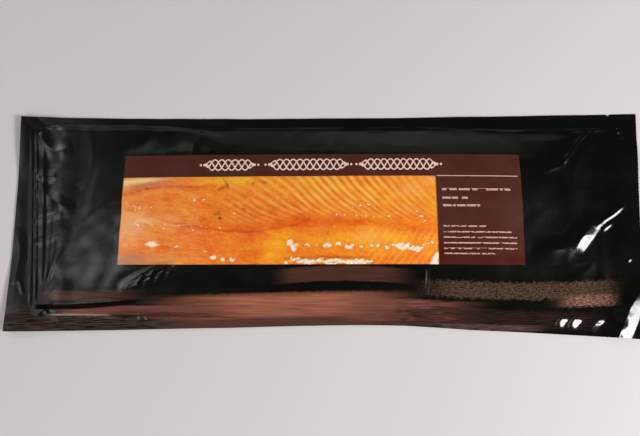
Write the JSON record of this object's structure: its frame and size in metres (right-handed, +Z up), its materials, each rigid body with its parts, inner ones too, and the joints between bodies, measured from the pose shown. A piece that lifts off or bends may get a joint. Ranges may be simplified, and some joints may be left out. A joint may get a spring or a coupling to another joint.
{
  "type": "vacuum pack of smoked salmon",
  "caption": "Long flat vacuum pouch of dark printed film drawn down over a side of smoked salmon on a card, with a clear window showing the fish.",
  "frame": {"origin": "under the middle of the pack's box, on the surface that its back web lies on", "axes": "+X along the pack from the fish's tail to its head end, +Y to the pack's far long edge, +Z up through the window"},
  "size_m": [0.6154, 0.2188, 0.0209],
  "materials": {
    "printed_film": "gloss",
    "salmon": "moist",
    "clear_film": "gloss"
  },
  "bodies": {
    "root": {"pouch": "printed_film", "salmon": "salmon", "window_film": "clear_film"}
  },
  "joints": []
}
